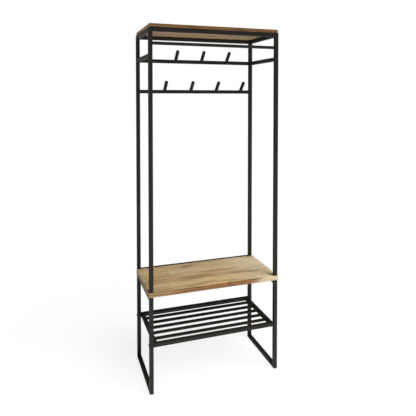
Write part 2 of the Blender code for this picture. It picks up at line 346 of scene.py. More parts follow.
def powder_coat():
    """Black polyester powder coat, sprayed and baked on steel: it gives a satin, slightly pebbled
    black whose broad, soft reflections turn the faces towards a light to dark grey."""
    found = bpy.data.materials.get("Satin black powder-coated steel")
    if found:
        return found
    paint = tuple(bpy.context.scene.hall_tree_steel.paint)
    material, tree, shader, place = new_material("Satin black powder-coated steel")
    # The pebbling of baked powder is about 1 mm across, the thickness of the film drifts over some
    # 80 mm, which shows as slow changes of tone, and rubbed patches of some 15 mm vary the gloss.
    pebble, drift, rub = [
        add_node(
            tree,
            "ShaderNodeTexNoise",
            {"Vector": place, "Scale": scale, "Detail": detail, "Roughness": roughness},
        ).outputs["Fac"]
        for scale, detail, roughness in ((900.0, 2.0, 0.5), (12.0, 3.0, 0.5), (60.0, 5.0, 0.65))
    ]
    tone = ramp(
        tree, drift, [(0.30, shade_of(paint, 0.80)), (0.55, paint), (0.75, shade_of(paint, 1.30))]
    )
    gloss = add_node(
        tree,
        "ShaderNodeMapRange",
        {"Value": rub, "From Min": 0.3, "From Max": 0.7, "To Min": 0.40, "To Max": 0.54},
    )
    bump = add_node(tree, "ShaderNodeBump", {"Height": pebble, "Strength": 0.16, "Distance": 0.0004})
    tree.links.new(tone, shader.inputs["Base Color"])
    tree.links.new(gloss.outputs["Result"], shader.inputs["Roughness"])
    tree.links.new(bump.outputs["Normal"], shader.inputs["Normal"])
    shader.inputs["IOR"].default_value = 1.36
    return material


def fine_metal(name, tone, pattern_scale, shades, gloss):
    """A metal whose tone and gloss both follow one fine mottling."""
    material, tree, shader, place = new_material(name)
    mottle = add_node(
        tree,
        "ShaderNodeTexNoise",
        {"Vector": place, "Scale": pattern_scale, "Detail": 4.0, "Roughness": 0.6},
    ).outputs["Fac"]
    dark, light = shades
    tones = ramp(tree, mottle, [(0.35, shade_of(tone, dark)), (0.65, shade_of(tone, light))])
    roughness = add_node(
        tree, "ShaderNodeMapRange", {"Value": mottle, "To Min": gloss[0], "To Max": gloss[1]}
    ).outputs["Result"]
    tree.links.new(tones, shader.inputs["Base Color"])
    tree.links.new(roughness, shader.inputs["Roughness"])
    shader.inputs["Metallic"].default_value = 1.0
    return material, tree, shader, mottle


def black_bolt():
    """Black-oxide steel, cold headed: a dark grey metal with a dull, oily sheen and a fine mottled
    relief."""
    name = "Black-oxide steel bolts"
    found = bpy.data.materials.get(name)
    if found:
        return found
    tone = bpy.context.scene.hall_tree_steel.bolt
    # The mottling of the oxide is about 2 mm across.
    material, tree, shader, mottle = fine_metal(name, tone, 500.0, (0.7, 1.25), (0.34, 0.52))
    bump = add_node(tree, "ShaderNodeBump", {"Height": mottle, "Strength": 0.1, "Distance": 0.0002})
    tree.links.new(bump.outputs["Normal"], shader.inputs["Normal"])
    return material


def zinc_plate():
    """Zinc-plated steel, barrel plated: a pale, slightly blue metal with a soft, uneven shine."""
    name = "Zinc-plated steel"
    found = bpy.data.materials.get(name)
    if found:
        return found
    tone = bpy.context.scene.hall_tree_steel.zinc
    # The clouding of the plating is about 5 mm across.
    return fine_metal(name, tone, 220.0, (0.8, 1.0), (0.28, 0.46))[0]


# A knot is (x, y, z, length along the grain, width) in metres.
BENCH_KNOTS = (
    (0.074, -0.179, 0.497, 0.013, 0.030),
    (-0.075, 0.110, 0.509, 0.055, 0.016),
    (0.255, -0.075, 0.509, 0.060, 0.009),
    (0.325, 0.150, 0.509, 0.040, 0.014),
)
TOP_KNOTS = (
    (-0.120, -0.177, 1.822, 0.050, 0.009),
    (0.130, -0.177, 1.820, 0.040, 0.008),
    (0.060, 0.060, 1.812, 0.070, 0.016),
)


def hardwood(name, tones, knots, sapwood, heart_edge):
    """Solid hardwood, planed, glued up from staves and rubbed with oil. The staves differ in tone,
    the grain runs along the board with its growth rings on the ends, and the oil leaves it nearly
    matt. Cream sapwood spreads from one end, and brown heartwood shows along the front edge.

    The sapwood is (x it starts at, x it is full at, share); on the bench board the pale right end that
    it gives is partly sapwood and partly painted light, the brighter light on that end. The heart edge
    is (its y, its width, the run where it fades in, the run where it fades out, share)."""
    tan, brown, olive, cream = (tuple(tone) for tone in tones)
    material, tree, shader, place = new_material(name)
    stave = add_node(tree, "ShaderNodeAttribute", attribute_name="stave").outputs["Color"]
    shares = add_node(tree, "ShaderNodeSeparateColor", {"Color": stave})
    # Each stave is cut from another place in the log.
    cut_from = add_node(
        tree, "ShaderNodeVectorMath", {0: stave, 1: (2.3, 2.3, 2.3), 2: place}, operation="MULTIPLY_ADD"
    ).outputs["Vector"]

    # The grain wanders a few millimetres sideways over some 200 mm of length.
    slow = add_node(
        tree, "ShaderNodeMapping", {"Vector": cut_from, "Scale": (4.0, 26.0, 26.0)}
    ).outputs["Vector"]
    wander = add_node(
        tree, "ShaderNodeTexNoise", {"Vector": slow, "Scale": 1.0, "Detail": 3.0, "Roughness": 0.5}
    ).outputs["Color"]
    centred = add_node(
        tree, "ShaderNodeVectorMath", {0: wander, 1: (0.5, 0.5, 0.5)}, operation="SUBTRACT"
    ).outputs["Vector"]
    bent = add_node(
        tree,
        "ShaderNodeVectorMath",
        {0: centred, 1: (0.0, 0.024, 0.024), 2: cut_from},
        operation="MULTIPLY_ADD",
    ).outputs["Vector"]

    # Growth rings lie around a heart below the board. Real ones are 2 to 3 mm apart; a broad set
    # of 11 mm is added, because the fine ones are too small to show from across a room.
    heart = add_node(
        tree,
        "ShaderNodeMapping",
        {"Vector": bent, "Location": (0.0, 0.02, 0.09), "Scale": (0.06, 1.0, 1.0)},
    ).outputs["Vector"]
    rings = []
    for scale, distortion in ((120.0, 1.5), (28.0, 2.5)):
        wave = add_node(
            tree,
            "ShaderNodeTexWave",
            {"Vector": heart, "Scale": scale, "Distortion": distortion, "Detail": 2.0},
            wave_type="RINGS",
            rings_direction="X",
        )
        rings.append(wave.outputs["Fac"])
    fine, broad = rings

    # Pores are open vessels 0.3 mm wide and up to 10 mm long, drawn about 1 mm wide. Streaks of
    # colour are 5 to 15 mm wide and some 300 mm long, and patches of stain 45 by 180 mm.
    grains = []
    for scale, detail, roughness in (
        ((60.0, 900.0, 900.0), 2.0, 0.6),
        ((3.2, 75.0, 75.0), 5.0, 0.62),
        ((5.5, 22.0, 22.0), 3.0, 0.5),
    ):
        drawn = add_node(tree, "ShaderNodeMapping", {"Vector": bent, "Scale": scale}).outputs["Vector"]
        noise = add_node(
            tree,
            "ShaderNodeTexNoise",
            {"Vector": drawn, "Scale": 1.0, "Detail": detail, "Roughness": roughness},
        )
        grains.append(noise.outputs["Fac"])
    pores, streaks, patches = grains

    # Light and dark of the main tone.
    grain = add_node(
        tree, "ShaderNodeMix", {"Factor": 0.40, "A": streaks, "B": broad}, data_type="FLOAT"
    ).outputs["Result"]
    result = ramp(
        tree,
        grain,
        [
            (0.34, shade_of(tan, 0.72)),
            (0.46, shade_of(tan, 0.94)),
            (0.55, shade_of(tan, 1.02)),
            (0.66, shade_of(tan, 1.30)),
        ],
    )
    # Each stave has its own share of heartwood, stain and sapwood, and the pattern spreads it.
    axes = add_node(tree, "ShaderNodeSeparateXYZ", {"Vector": place})
    # Paler towards the right end: sapwood, and on the bench partly painted light, the brighter light on
    # that end.
    sap_from, sap_to, sap_share = sapwood
    ragged = add_node(
        tree, "ShaderNodeMath", {0: patches, 1: 0.55, 2: axes.outputs["X"]}, operation="MULTIPLY_ADD"
    ).outputs["Value"]
    sap_and_light = add_node(
        tree,
        "ShaderNodeMapRange",
        {"Value": ragged, "From Min": sap_from, "From Max": sap_to, "To Max": sap_share},
        interpolation_type="SMOOTHSTEP",
    ).outputs["Result"]
    paler = add_node(tree, "ShaderNodeMath", {0: shares.outputs["Green"], 1: sap_and_light}).outputs["Value"]
    for share, pattern, spread, tone in (
        (shares.outputs["Red"], streaks, 1.1, brown),
        (shares.outputs["Blue"], patches, 1.6, olive),
        (paler, streaks, 0.9, cream),
    ):
        varied = add_node(
            tree, "ShaderNodeMath", {0: pattern, 1: spread, 2: -spread / 2}, operation="MULTIPLY_ADD"
        ).outputs["Value"]
        amount = add_node(tree, "ShaderNodeMath", {0: varied, 1: share}, use_clamp=True).outputs["Value"]
        result = add_node(
            tree, "ShaderNodeMix", {"Factor": amount, "A": result, "B": (*tone, 1.0)}, data_type="RGBA"
        ).outputs["Result"]

    # Brown heartwood runs along the front edge, and fades where the sapwood begins.
    edge_y, edge_width, edge_from, edge_to, edge_share = heart_edge
    near = add_node(
        tree,
        "ShaderNodeMapRange",
        {
            "Value": axes.outputs["Y"],
            "From Min": edge_y,
            "From Max": edge_y + edge_width,
            "To Min": 1.0,
            "To Max": 0.0,
        },
        interpolation_type="SMOOTHSTEP",
    ).outputs["Result"]
    slanting = add_node(
        tree,
        "ShaderNodeMath",
        {0: axes.outputs["Z"], 1: -2.0, 2: axes.outputs["X"]},
        operation="MULTIPLY_ADD",
    ).outputs["Value"]
    for start, end, low, high in (
        (*edge_from, 0.6 * edge_share, edge_share),
        (*edge_to, 1.0, 0.0),
    ):
        fade = add_node(
            tree,
            "ShaderNodeMapRange",
            {"Value": slanting, "From Min": start, "From Max": end, "To Min": low, "To Max": high},
            interpolation_type="SMOOTHSTEP",
        ).outputs["Result"]
        near = add_node(
            tree, "ShaderNodeMath", {0: near, 1: fade}, operation="MULTIPLY"
        ).outputs["Value"]
    figure = ramp(
        tree,
        broad,
        [(0.12, shade_of(brown, 0.52)), (0.45, brown), (0.90, shade_of(brown, 1.55))],
    )
    result = add_node(
        tree, "ShaderNodeMix", {"Factor": near, "A": result, "B": figure}, data_type="RGBA"
    ).outputs["Result"]

    # Knots darken the grain that flows round them.
    for x, y, z, knot_length, knot_width in knots:
        local = add_node(
            tree,
            "ShaderNodeMapping",
            {
                "Vector": place,
                "Location": (-x / knot_length, -y / knot_width, -z / knot_width),
                "Scale": (1 / knot_length, 1 / knot_width, 1 / knot_width),
            },
        ).outputs["Vector"]
        away = add_node(tree, "ShaderNodeVectorMath", {0: local}, operation="LENGTH").outputs["Value"]
        rough_edge = add_node(
            tree, "ShaderNodeMath", {0: streaks, 1: 1.4, 2: away}, operation="MULTIPLY_ADD"
        ).outputs["Value"]
        dark = add_node(
            tree,
            "ShaderNodeMapRange",
            {"Value": rough_edge, "From Min": 1.00, "From Max": 1.75, "To Min": 0.70, "To Max": 0.0},
            interpolation_type="SMOOTHSTEP",
        ).outputs["Result"]
        result = add_node(
            tree,
            "ShaderNodeMix",
            {"Factor": dark, "A": result, "B": (*shade_of(brown, 0.62), 1.0)},
            data_type="RGBA",
        ).outputs["Result"]

    # Rings and pores, at last, over everything.
    ringed = add_node(
        tree, "ShaderNodeMapRange", {"Value": fine, "To Min": 0.92, "To Max": 1.05}
    ).outputs["Result"]
    pored = add_node(
        tree,
        "ShaderNodeMapRange",
        {"Value": pores, "From Min": 0.34, "From Max": 0.46, "To Min": 0.80, "To Max": 1.0},
    ).outputs["Result"]
    both = add_node(tree, "ShaderNodeMath", {0: ringed, 1: pored}, operation="MULTIPLY").outputs["Value"]
    coloured = add_node(
        tree, "ShaderNodeVectorMath", {0: result, "Scale": both}, operation="SCALE"
    ).outputs["Vector"]
    gloss = add_node(
        tree, "ShaderNodeMapRange", {"Value": streaks, "To Min": 0.66, "To Max": 0.50}
    ).outputs["Result"]
    relief = add_node(
        tree, "ShaderNodeMix", {"Factor": 0.6, "A": fine, "B": pores}, data_type="FLOAT"
    ).outputs["Result"]
    bump = add_node(
        tree, "ShaderNodeBump", {"Height": relief, "Strength": 0.20, "Distance": 0.0004}
    ).outputs["Normal"]
    tree.links.new(coloured, shader.inputs["Base Color"])
    tree.links.new(gloss, shader.inputs["Roughness"])
    tree.links.new(bump, shader.inputs["Normal"])
    shader.inputs["IOR"].default_value = 1.45
    return material


# Steel pieces


def square_tube(node, mitres=()):
    """A square tube in the place of a CAD node, with rounded corners, a wall and true mitres.

    Each mitre is a (point, normal) plane, and a welded end reaches its neighbour."""
    steel = bpy.context.scene.hall_tree_steel
    low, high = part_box(node)
    size = high - low
    axis = max(range(3), key=lambda index: size[index])
    reach = Vector((0.0, 0.0, 0.0))
    if not mitres and not node.startswith(("front_post", "rack_rail_front", "rack_rail_rear")):
        reach[axis] = JOINT_GAP
    add_cube = bpy.ops.mesh.primitive_cube_add
    tube = start_from(add_cube, size=1.0, location=(low + high) / 2, scale=size + 2 * reach)
    edit(tube)
    pick("EDGE", lambda edge: run_of(edge, axis) > size[axis] / 2)
    bpy.ops.mesh.bevel(offset=steel.corner, segments=5, profile=0.5, affect="EDGES")
    pick("FACE", lambda face: abs(face.normal[axis]) > 0.9)
    bpy.ops.mesh.delete(type="FACE")
    deselect()
    modify(tube, "SOLIDIFY", thickness=steel.wall, offset=-1.0, use_even_offset=True)
    for point, normal in mitres:
        bisect_away(tube, point, normal)
    return tube


def mitre(y, rearward, upward):
    """The plane of a mitre at a bottom corner of the frame, facing what it cuts away."""
    return Vector((0.0, y, TUBE / 2)), Vector((0.0, rearward, upward))


def drill(obj, centre, diameter, depth, axis):
    """Cuts a round hole of a given depth each way through a piece, along X or Y."""
    tool = start_from(
        bpy.ops.mesh.primitive_cylinder_add,
        vertices=32,
        radius=diameter / 2,
        depth=2 * depth,
        location=centre,
        rotation=(0.0, QUARTER_TURN, 0.0) if axis == X_AXIS else (QUARTER_TURN, 0.0, 0.0),
    )
    cut_with(obj, tool)


def round_bar(node):
    """A round tube in the place of a CAD node, which reaches the tubes it is welded to."""
    low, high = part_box(node)
    bar = start_from(
        bpy.ops.mesh.primitive_cylinder_add,
        vertices=48,
        radius=(high.z - low.z) / 2,
        depth=high.x - low.x + 2 * JOINT_GAP,
        location=(low + high) / 2,
        rotation=(0.0, QUARTER_TURN, 0.0),
        end_fill_type="NOTHING",
    )
    wall = bpy.context.scene.hall_tree_steel.round_wall
    modify(bar, "SOLIDIFY", thickness=wall, offset=-1.0, use_even_offset=True)
    return bar


def steel_piece(obj, name, node):
    """Finishes one painted tube in the place of its CAD node."""
    finish_piece(obj, name, powder_coat(), "frame_steel", node)


class HALLTREE_OT_posts(bpy.types.Operator):
    """Builds the two front posts, the two front legs with their lock screw holes, and the two rear
    posts, which run from the floor to the top board"""

    bl_idname = "hall_tree.posts"
    bl_label = "Posts and legs"

    def execute(self, context):
        screw_low, screw_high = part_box("lock_screw_right")
        hole = screw_high.z - screw_low.z + 2 * JOINT_GAP
        for side, sign in SIDES:
            node = "front_post_" + side
            steel_piece(square_tube(node), "front_post_tube_" + side, node)
            x = sign * (FRAME_SIDE - TUBE / 2)
            leg = square_tube("front_leg_" + side, [mitre(FRAME_FRONT + TUBE / 2, 1.0, -1.0)])
            screw = middle_of("lock_screw_" + side)
            drill(leg, (x, FRAME_FRONT, screw.z), hole, TUBE / 2, Y_AXIS)
            bolt = middle_of("rack_bolt_front_" + side)
            drill(leg, (x, bolt.y, bolt.z), hole, TUBE, X_AXIS)
            steel_piece(leg, "front_leg_tube_" + side, "front_leg_" + side)
            post = square_tube("rear_post_" + side, [mitre(POST_HIGH.y - TUBE / 2, -1.0, -1.0)])
            bolt = middle_of("rack_bolt_rear_" + side)
            drill(post, (x, bolt.y, bolt.z), hole, TUBE, X_AXIS)
            steel_piece(post, "rear_post_tube_" + side, "rear_post_" + side)
        return {"FINISHED"}


class HALLTREE_OT_runners(bpy.types.Operator):
    """Builds the two floor runners, mitred into the legs"""

    bl_idname = "hall_tree.runners"
    bl_label = "Floor runners"

    def execute(self, context):
        ends = [mitre(FRAME_FRONT + TUBE / 2, -1.0, 1.0), mitre(POST_HIGH.y - TUBE / 2, 1.0, 1.0)]
        for side, _ in SIDES:
            node = "floor_runner_" + side
            steel_piece(square_tube(node, ends), "floor_runner_tube_" + side, node)
        return {"FINISHED"}


def rails(nodes):
    """Builds a plain length of square tube for each of these CAD nodes."""
    for node in nodes:
        steel_piece(square_tube(node), node + "_tube", node)


class HALLTREE_OT_top_frame(bpy.types.Operator):
    """Builds the four rails under the top board"""

    bl_idname = "hall_tree.top_frame"
    bl_label = "Top frame"

    def execute(self, context):
        rails(TOP_RAILS)
        return {"FINISHED"}


class HALLTREE_OT_hook_rails(bpy.types.Operator):
    """Builds the two hook rails and the two side rails at the upper one's level"""

    bl_idname = "hall_tree.hook_rails"
    bl_label = "Hook and side rails"

    def execute(self, context):
        rails(HOOK_RAILS)
        return {"FINISHED"}


class HALLTREE_OT_bench_rails(bpy.types.Operator):
    """Builds the rails that carry the bench board and the one behind it"""

    bl_idname = "hall_tree.bench_rails"
    bl_label = "Bench rails"

    def execute(self, context):
        rails(BENCH_RAILS)
        return {"FINISHED"}


class HALLTREE_OT_rack_frame(bpy.types.Operator):
    """Builds the four rails of the shoe rack"""

    bl_idname = "hall_tree.rack_frame"
    bl_label = "Shoe rack frame"

    def execute(self, context):
        rails(["rack_rail_front", "rack_rail_rear", "rack_rail_left", "rack_rail_right"])
        return {"FINISHED"}


class HALLTREE_OT_round_bars(bpy.types.Operator):
    """Builds the five round bars of the shoe rack and the hanging bar"""

    bl_idname = "hall_tree.round_bars"
    bl_label = "Round bars"

    def execute(self, context):
        for node in nodes_named("rack_bar", "hanging_bar"):
            steel_piece(round_bar(node), node + "_tube", node)
        return {"FINISHED"}


class HALLTREE_OT_pegs(bpy.types.Operator):
    """Builds one slanting peg with a rounded end, and sets its copies along both hook rails"""

    bl_idname = "hall_tree.pegs"
    bl_label = "Coat pegs"

    def execute(self, context):
        low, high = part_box("lower_peg_1")
        radius = (high.x - low.x) / 2
        level = (RAIL_LOW.z + RAIL_HIGH.z) / 2
        stick = (high.z - level - radius) / math.cos(PEG_LEAN) + radius
        buried = 2 * radius
        peg = start_from(
            bpy.ops.mesh.primitive_cylinder_add,
            vertices=40,
            radius=radius,
            depth=stick + buried,
            location=(0.0, 0.0, (stick - buried) / 2),
        )
        round_rim(peg, stick, radius * PEG_END, 9)
        deselect()
        peg.rotation_euler = (PEG_LEAN, 0.0, 0.0)
        peg.location = (0.0, REAR_POST_FACE, level)
        settle(peg)
        bisect_away(peg, (0.0, REAR_POST_FACE, level), (0.0, 1.0, 0.0))
        # Its toe is ground off level with the rail's underside.
        bisect_away(peg, (0.0, 0.0, level - TUBE / 2), (0.0, 0.0, -1.0))
        for node in nodes_named("lower_peg", "upper_peg"):
            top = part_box(node)[1]
            place = Matrix.Translation((top.x - radius, 0.0, top.z - high.z))
            piece = copy_of(peg, place)
            finish_piece(piece, node + "_rod", powder_coat(), "pegs", node, angle=50.0)
        remove(peg)
        return {"FINISHED"}


# Boards


# The rows of staves of each board, from the front: the share of its depth that each row reaches,
# and then for each stave from the left, the x that it reaches and its shares of heartwood, sapwood
# and stain.
BENCH_STAVES = (
    (0.31, ((1.0, 0.06, 0.08, 0.14),)),
    (0.57, ((1.0, 0.26, 0.00, 0.06),)),
    (0.77, ((-0.193, 0.16, 0.00, 0.62), (1.0, 0.00, 0.30, 0.20))),
    (1.00, ((0.060, 0.14, 0.16, 0.16), (1.0, 0.14, 0.04, 0.30))),
)
TOP_STAVES = (
    (0.24, ((1.0, 0.20, 0.02, 0.20),)),
    (0.50, ((0.105, 0.05, 0.20, 0.10), (1.0, 0.22, 0.02, 0.30))),
    (0.76, ((1.0, 0.30, 0.02, 0.10),)),
    (1.00, ((-0.150, 0.12, 0.04, 0.35), (1.0, 0.10, 0.16, 0.10))),
)


def board(node, rows):
    """A board in the place of a CAD node, with eased edges and its staves marked face by face."""
    low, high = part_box(node)
    size = high - low
    slab = start_from(
        bpy.ops.mesh.primitive_cube_add, size=1.0, location=(low + high) / 2, scale=size
    )
    edit(slab)
    for share, staves in rows:
        cuts = [((0.0, low.y + share * size.y, 0.0), (0.0, 1.0, 0.0))]
        cuts += [((reach, 0.0, 0.0), (1.0, 0.0, 0.0)) for reach, *_ in staves]
        for point, normal in cuts:
            bpy.ops.mesh.select_all(action="SELECT")
            bpy.ops.mesh.bisect(plane_co=point, plane_no=normal)

    def on_outline(edge):
        sides = 0
        for axis in range(3):
            for limit in (low[axis], high[axis]):
                if all(abs(end.co[axis] - limit) < 0.0001 for end in edge.verts):
                    sides += 1
        return sides >= 2

    pick("EDGE", on_outline)
    bpy.ops.mesh.bevel(
        offset=bpy.context.scene.hall_tree_boards.edge, segments=4, profile=0.5, affect="EDGES"
    )
    deselect()
    marks = slab.data.attributes.new("stave", "FLOAT_COLOR", "FACE")
    for face in slab.data.polygons:
        depth = (face.center.y - low.y) / size.y
        staves = next((staves for share, staves in rows if depth <= share), rows[-1][1])
        stave = next(stave for stave in staves if face.center.x <= stave[0])
        marks.data[face.index].color = (*stave[1:], 1.0)
    return slab


def lay_board(node, staves, slot, material):
    """Builds a board in the place of a CAD node and finishes it."""
    finish_piece(board(node, staves), node + "_slab", material, slot, node, angle=25.0)


class HALLTREE_OT_bench_board(bpy.types.Operator):
    """Builds the bench board from four rows of glued staves"""

    bl_idname = "hall_tree.bench_board"
    bl_label = "Bench board"

    def execute(self, context):
        boards = context.scene.hall_tree_boards
        oiled = hardwood(
            "Oiled light hardwood staves",
            (boards.bench_tan, boards.bench_brown, boards.bench_olive, boards.bench_cream),
            BENCH_KNOTS,
            # The pale right end is partly sapwood and partly painted light, the brighter light on that
            # end.
            (0.28, 0.62, 0.85),
            (FRAME_FRONT - 0.0005, 0.006, (-1.27, -1.17), (-0.80, -0.72), 0.95),
        )
        lay_board("bench_board", BENCH_STAVES, "bench_wood", oiled)
        return {"FINISHED"}


class HALLTREE_OT_top_board(bpy.types.Operator):
    """Builds the top board from four rows of glued staves"""

    bl_idname = "hall_tree.top_board"
    bl_label = "Top board"

    def execute(self, context):
        boards = context.scene.hall_tree_boards
        oiled = hardwood(
            "Oiled brown hardwood staves",
            (boards.top_tan, boards.top_brown, boards.top_olive, boards.top_cream),
            TOP_KNOTS,
            (0.60, 1.00, 0.35),
            (FRAME_FRONT + 0.0015, 0.006, (-4.60, -4.50), (-3.00, -2.90), 0.90),
        )
        lay_board("top_board", TOP_STAVES, "top_wood", oiled)
        return {"FINISHED"}


# Fasteners


def socket(obj, top, width, depth):
    """Sinks a hexagon socket into the top of an upright head at the origin."""
    tool = start_from(
        bpy.ops.mesh.primitive_cylinder_add,
        vertices=6,
        radius=width / math.sqrt(3),
        depth=2 * depth,
        location=(0.0, 0.0, top),
    )
    cut_with(obj, tool)


def turned_head(radius, height, dome, shank, shank_length, sides):
    """An upright head at the origin with a domed rim and a shank below it."""
    head = start_from(
        bpy.ops.mesh.primitive_cylinder_add,
        vertices=sides,
        radius=radius,
        depth=height,
        location=(0.0, 0.0, height / 2),
    )
    round_rim(head, height, dome, 5)
    pick("FACE", lambda face: face.normal.z < -0.9)
    bpy.ops.mesh.inset(thickness=radius - shank, depth=0.0)
    bpy.ops.mesh.extrude_region_move(TRANSFORM_OT_translate={"value": (0.0, 0.0, -shank_length)})
    deselect()
    return head


class HALLTREE_OT_rack_bolts(bpy.types.Operator):
    """Builds one button-head bolt with a hexagon socket and sets four through the legs"""

    bl_idname = "hall_tree.rack_bolts"
    bl_label = "Rack bolts"

    def execute(self, context):
        low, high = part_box("rack_bolt_front_right")
        height = high.x - FRAME_SIDE
        shank_length = FRAME_SIDE - low.x
        bolt = turned_head((high.z - low.z) / 2, height, height * BOLT_DOME, BOLT_SHANK, shank_length, 40)
        socket(bolt, height, BOLT_SOCKET, height * 0.6)
        for side, sign in SIDES:
            turn = Matrix.Rotation(sign * QUARTER_TURN, 4, "Y")
            spin = Matrix.Rotation(math.radians(17 * sign + 9), 4, "Z")
            for end in ("front", "rear"):
                node = "rack_bolt_" + end + "_" + side
                place = middle_of(node)
                matrix = Matrix.Translation((sign * FRAME_SIDE, place.y, place.z)) @ turn @ spin
                piece = copy_of(bolt, matrix)
                finish_piece(piece, node + "_button_head", black_bolt(), "bolt_heads", node)
        remove(bolt)
        return {"FINISHED"}


class HALLTREE_OT_lock_screws(bpy.types.Operator):
    """Builds one socket set screw and sets one in the front of each leg"""

    bl_idname = "hall_tree.lock_screws"
    bl_label = "Lock screws"

    def execute(self, context):
        low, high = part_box("lock_screw_right")
        depth = high.y - low.y
        screw = start_from(
            bpy.ops.mesh.primitive_cylinder_add,
            vertices=40,
            radius=(high.z - low.z) / 2,
            depth=depth,
            location=(0.0, 0.0, -depth / 2),
        )
        round_rim(screw, 0.0, 0.0005, 2)
        deselect()
        socket(screw, 0.0, LOCK_SOCKET, LOCK_SOCKET)
        turn = Matrix.Rotation(QUARTER_TURN, 4, "X")
        for node in nodes_named("lock_screw"):
            place = middle_of(node)
            matrix = Matrix.Translation((place.x, FRAME_FRONT + LOCK_RECESS, place.z)) @ turn
            piece = copy_of(screw, matrix)
            finish_piece(piece, node + "_set_screw", black_bolt(), "fasteners", node)
        remove(screw)
        return {"FINISHED"}


class HALLTREE_OT_board_screws(bpy.types.Operator):
    """Builds one pan-head screw with a cross recess and sets eight up through the side rails"""

    bl_idname = "hall_tree.board_screws"
    bl_label = "Board screws"

    def execute(self, context):
        low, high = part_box("bench_screw_front_right")
        radius = (high.x - low.x) / 2
        shank_length = high.z - low.z - SCREW_HEAD
        screw = turned_head(radius, SCREW_HEAD, SCREW_HEAD * SCREW_DOME, SCREW_SHANK, shank_length, 32)
        for turn in (0.0, QUARTER_TURN):
            slot = start_from(
                bpy.ops.mesh.primitive_cube_add,
                size=1.0,
                location=(0.0, 0.0, SCREW_HEAD),
                rotation=(0.0, 0.0, turn),
                scale=CROSS_RECESS,
            )
            cut_with(screw, slot)
        over = Matrix.Rotation(2 * QUARTER_TURN, 4, "X")
        for index, node in enumerate(nodes_named("bench_screw", "top_screw")):
            place = middle_of(node)
            place.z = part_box(node)[0].z + SCREW_HEAD
            spin = Matrix.Rotation(math.radians(31 * index), 4, "Z")
            piece = copy_of(screw, Matrix.Translation(place) @ over @ spin)
            finish_piece(piece, node + "_pan_head", zinc_plate(), "fasteners", node)
        remove(screw)
        return {"FINISHED"}


class HALLTREE_OT_inner_fittings(bpy.types.Operator):
    """Gives the threaded plugs and the spigots inside the tubes their zinc plating"""

    bl_idname = "hall_tree.inner_fittings"
    bl_label = "Plugs and spigots"

    def execute(self, context):
        for name in nodes_named("rack_plug", "post_spigot"):
            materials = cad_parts[name].data.materials
            materials.clear()
            materials.append(zinc_plate())
        return {"FINISHED"}


# Welds


def straight_bead():
    """A short weld bead along X at the origin, with tapered ends and the ripples of the arc."""
    steel = bpy.context.scene.hall_tree_steel
    bead = start_from(
        bpy.ops.mesh.primitive_cylinder_add,
        vertices=10,
        radius=steel.bead,
        depth=steel.bead_length,
        rotation=(0.0, QUARTER_TURN, 0.0),
    )
    edit(bead)
    pick("EDGE", lambda edge: run_of(edge, X_AXIS) > steel.bead_length / 2)
    bpy.ops.mesh.subdivide(number_cuts=2 * WELD_RIPPLES)
    last = 2 * WELD_RIPPLES + 1
    step = steel.bead_length / last
    for ring in range(last + 1):
        x = -steel.bead_length / 2 + ring * step
        from_end = min(ring, last - ring)
        swell = (0.45, 0.80, 0.95, 1.0)[min(from_end, 3)]
        if ring % 2 == 0:
            swell *= 0.84
        pick("VERT", lambda vertex: abs(vertex.co.x - x) < step / 4)
        bpy.ops.transform.resize(value=(1.0, swell, swell))
    deselect()
    return bead


def ring_bead(radius):
    """A rippled weld ring round a bar that lies along X through the origin."""
    ring = start_from(
        bpy.ops.mesh.primitive_torus_add,
        major_radius=radius,
        minor_radius=bpy.context.scene.hall_tree_steel.bead * RING_WELD,
        major_segments=40,
        minor_segments=8,
        rotation=(0.0, QUARTER_TURN, 0.0),
    )
    edit(ring)
    pick("VERT", lambda vertex: round(math.atan2(vertex.co.y, vertex.co.z) / math.radians(9)) % 2)
    bpy.ops.transform.resize(value=(0.80, 0.985, 0.985))
    deselect()
    return ring


